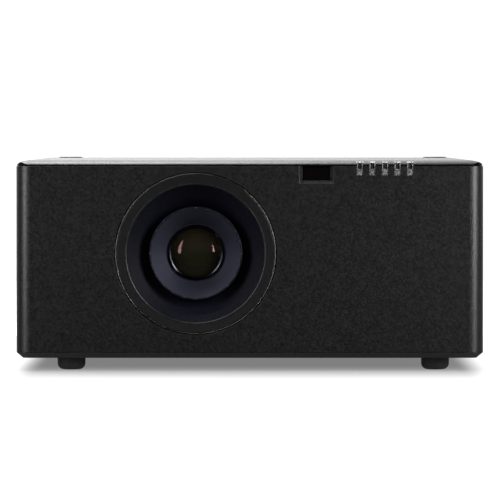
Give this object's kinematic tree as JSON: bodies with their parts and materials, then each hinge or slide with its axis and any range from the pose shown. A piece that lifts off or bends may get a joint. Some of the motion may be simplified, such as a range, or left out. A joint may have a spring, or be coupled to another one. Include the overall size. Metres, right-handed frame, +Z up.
{
  "type": "projector",
  "caption": "Large black box-shaped projector with a recessed lens in a round trim ring, side filter and lamp doors, rear sockets and keys, and screw feet.",
  "frame": {"origin": "on the floor under the centre of the housing", "axes": "+X to the right seen from the front, +Y from the front to the back, +Z up"},
  "size_m": [0.432, 0.508, 0.196],
  "materials": {
    "housing_black": "fine moulded grain",
    "tray_black": "fine textured powder coat",
    "trim_black": "satin moulded",
    "shroud_black": "matt",
    "barrel_black": "satin black anodised",
    "window_dark": "polished, infrared clear",
    "light_pipe": "clear, frosted face",
    "lens_glass": "polished, coated",
    "foot_rubber": "matt moulded",
    "key_plastic": "satin",
    "socket_metal": "nickel plated",
    "inlet_black": "moulded",
    "rocker_red": "gloss moulded",
    "board_green": "solder mask",
    "screw_steel": "black zinc",
    "cast_metal": "as cast",
    "turned_steel": "turned",
    "gear_plastic": "acetal",
    "motor_can": "zinc plated",
    "supply_metal": "galvanised sheet",
    "filter_foam": "pleated filter paper",
    "reflector_glass": "dichroic coated",
    "wheel_glass": "dichroic segments",
    "lamp_case": "heat resistant moulding",
    "fan_plastic": "moulded"
  },
  "bodies": {
    "chassis": {"base_tray": "tray_black", "front_panel": "housing_black", "left_side_panel": "housing_black", "right_side_panel": "housing_black", "rear_panel": "housing_black", "top_cover": "housing_black", "lens_trim_ring": "trim_black", "ir_window": "window_dark", "led_light_pipes": "light_pipe", "housing_screws": "screw_steel", "cover_caps": "housing_black", "keypad_board": "board_green", "io_board": "board_green", "board_sockets": "socket_metal", "bnc_jacks": "socket_metal", "ac_inlet": "inlet_black", "shift_motor_v": "motor_can", "engine_housing": "cast_metal", "tir_prism": "lens_glass", "imaging_board": "board_green", "imaging_heatsink": "cast_metal", "light_tunnel": "cast_metal", "colour_wheel_motor": "motor_can", "lamp_housing": "lamp_case", "lamp_reflector": "reflector_glass", "power_supply": "supply_metal", "main_board": "board_green", "exhaust_fan_frame": "fan_plastic"},
    "foot_front_left": {"foot_front_left": "foot_rubber"},
    "foot_front_right": {"foot_front_right": "foot_rubber"},
    "foot_rear_left": {"foot_rear_left": "foot_rubber"},
    "foot_rear_right": {"foot_rear_right": "foot_rubber"},
    "filter": {"filter_cassette": "housing_black", "filter_media": "filter_foam"},
    "lamp_door": {"lamp_door": "housing_black"},
    "power_rocker": {"power_rocker": "rocker_red"},
    "shift_frame": {"shift_frame": "cast_metal", "shift_motor_h": "motor_can"},
    "lens": {"lens_carriage": "cast_metal", "lens_barrel": "barrel_black", "front_element": "lens_glass", "lens_shroud": "shroud_black", "focus_motor": "motor_can", "zoom_motor": "motor_can"},
    "focus_group": {"focus_group": "lens_glass"},
    "zoom_group": {"zoom_group": "lens_glass"},
    "focus_ring": {"focus_ring": "gear_plastic"},
    "zoom_ring": {"zoom_ring": "gear_plastic"},
    "focus_pinion": {"focus_pinion": "gear_plastic"},
    "zoom_pinion": {"zoom_pinion": "gear_plastic"},
    "shift_screw_v": {"shift_screw_v": "turned_steel"},
    "shift_screw_h": {"shift_screw_h": "turned_steel"},
    "colour_wheel": {"colour_wheel": "wheel_glass"},
    "exhaust_fan_rotor": {"exhaust_fan_rotor": "fan_plastic"},
    "key_power": {"key_power": "key_plastic"},
    "key_up": {"key_up": "key_plastic"},
    "key_down": {"key_down": "key_plastic"},
    "key_left": {"key_left": "key_plastic"},
    "key_right": {"key_right": "key_plastic"},
    "key_enter": {"key_enter": "key_plastic"}
  },
  "joints": [
    {"name": "foot_front_left_height", "type": "slide", "parent": "chassis", "child": "foot_front_left", "axis": [0, 0, -1], "range_m": [0, 0.012]},
    {"name": "foot_front_right_height", "type": "slide", "parent": "chassis", "child": "foot_front_right", "axis": [0, 0, -1], "range_m": [0, 0.012]},
    {"name": "foot_rear_left_height", "type": "slide", "parent": "chassis", "child": "foot_rear_left", "axis": [0, 0, -1], "range_m": [0, 0.012]},
    {"name": "foot_rear_right_height", "type": "slide", "parent": "chassis", "child": "foot_rear_right", "axis": [0, 0, -1], "range_m": [0, 0.012]},
    {"name": "filter_pull", "type": "slide", "parent": "chassis", "child": "filter", "axis": [-1, 0, 0], "range_m": [0, 0.04]},
    {"name": "lamp_door_swing", "type": "hinge", "parent": "chassis", "child": "lamp_door", "pos_m": [0.2145, -0.063, 0.053], "axis": [0, 1, 0], "range_deg": [0, 95]},
    {"name": "power_rocker_tilt", "type": "hinge", "parent": "chassis", "child": "power_rocker", "pos_m": [0.172, 0.245, 0.055], "axis": [1, 0, 0], "range_deg": [0, 18]},
    {"name": "key_power_press", "type": "slide", "parent": "chassis", "child": "key_power", "axis": [0, -1, 0], "range_m": [0, 0.0008], "stiffness_N_per_m": 1200},
    {"name": "key_up_press", "type": "slide", "parent": "chassis", "child": "key_up", "axis": [0, -1, 0], "range_m": [0, 0.0008], "stiffness_N_per_m": 1200},
    {"name": "key_down_press", "type": "slide", "parent": "chassis", "child": "key_down", "axis": [0, -1, 0], "range_m": [0, 0.0008], "stiffness_N_per_m": 1200},
    {"name": "key_left_press", "type": "slide", "parent": "chassis", "child": "key_left", "axis": [0, -1, 0], "range_m": [0, 0.0008], "stiffness_N_per_m": 1200},
    {"name": "key_right_press", "type": "slide", "parent": "chassis", "child": "key_right", "axis": [0, -1, 0], "range_m": [0, 0.0008], "stiffness_N_per_m": 1200},
    {"name": "key_enter_press", "type": "slide", "parent": "chassis", "child": "key_enter", "axis": [0, -1, 0], "range_m": [0, 0.0008], "stiffness_N_per_m": 1200},
    {"name": "lens_shift_vertical", "type": "slide", "parent": "chassis", "child": "shift_frame", "axis": [0, 0, 1], "range_m": [-0.005, 0.005]},
    {"name": "lens_shift_horizontal", "type": "slide", "parent": "shift_frame", "child": "lens", "axis": [1, 0, 0], "range_m": [-0.002, 0.002]},
    {"name": "shift_screw_v_turn", "type": "hinge", "parent": "chassis", "child": "shift_screw_v", "pos_m": [0.028, -0.129, 0.14], "axis": [0, 0, 1], "range_deg": [-451, 451]},
    {"name": "shift_screw_h_turn", "type": "hinge", "parent": "shift_frame", "child": "shift_screw_h", "pos_m": [-0.05, -0.14, 0.054], "axis": [1, 0, 0], "range_deg": [-181, 181]},
    {"name": "focus_ring_turn", "type": "hinge", "parent": "lens", "child": "focus_ring", "pos_m": [-0.05, 0, 0.1085], "axis": [0, 1, 0], "range_deg": [-30, 30]},
    {"name": "zoom_ring_turn", "type": "hinge", "parent": "lens", "child": "zoom_ring", "pos_m": [-0.05, 0, 0.1085], "axis": [0, 1, 0], "range_deg": [-30, 30]},
    {"name": "focus_group_move", "type": "slide", "parent": "lens", "child": "focus_group", "axis": [0, 1, 0], "range_m": [-0.0031, 0.0031]},
    {"name": "zoom_group_move", "type": "slide", "parent": "lens", "child": "zoom_group", "axis": [0, 1, 0], "range_m": [-0.0081, 0.0081]},
    {"name": "focus_pinion_turn", "type": "hinge", "parent": "lens", "child": "focus_pinion", "pos_m": [0.00544, -0.2, 0.08832], "axis": [0, 1, 0], "range_deg": [-223.5, 223.5]},
    {"name": "zoom_pinion_turn", "type": "hinge", "parent": "lens", "child": "zoom_pinion", "pos_m": [-0.10544, -0.16, 0.08832], "axis": [0, 1, 0], "range_deg": [-223.5, 223.5]},
    {"name": "colour_wheel_spin", "type": "hinge", "parent": "chassis", "child": "colour_wheel", "pos_m": [0.086, -0.06, 0.0875], "axis": [1, 0, 0], "continuous": true},
    {"name": "exhaust_fan_spin", "type": "hinge", "parent": "chassis", "child": "exhaust_fan_rotor", "pos_m": [0.195, 0.12, 0.095], "axis": [1, 0, 0], "continuous": true}
  ],
  "couplings": [
    {"joint": "shift_screw_v_turn", "follows": "lens_shift_vertical", "rad_per_m": -1570.8},
    {"joint": "shift_screw_h_turn", "follows": "lens_shift_horizontal", "rad_per_m": -1570.8},
    {"joint": "focus_pinion_turn", "follows": "focus_ring_turn", "ratio": -7.4286},
    {"joint": "focus_group_move", "follows": "focus_ring_turn", "m_per_rad": 0.0057296},
    {"joint": "zoom_pinion_turn", "follows": "zoom_ring_turn", "ratio": -7.4286},
    {"joint": "zoom_group_move", "follows": "zoom_ring_turn", "m_per_rad": 0.015279}
  ]
}
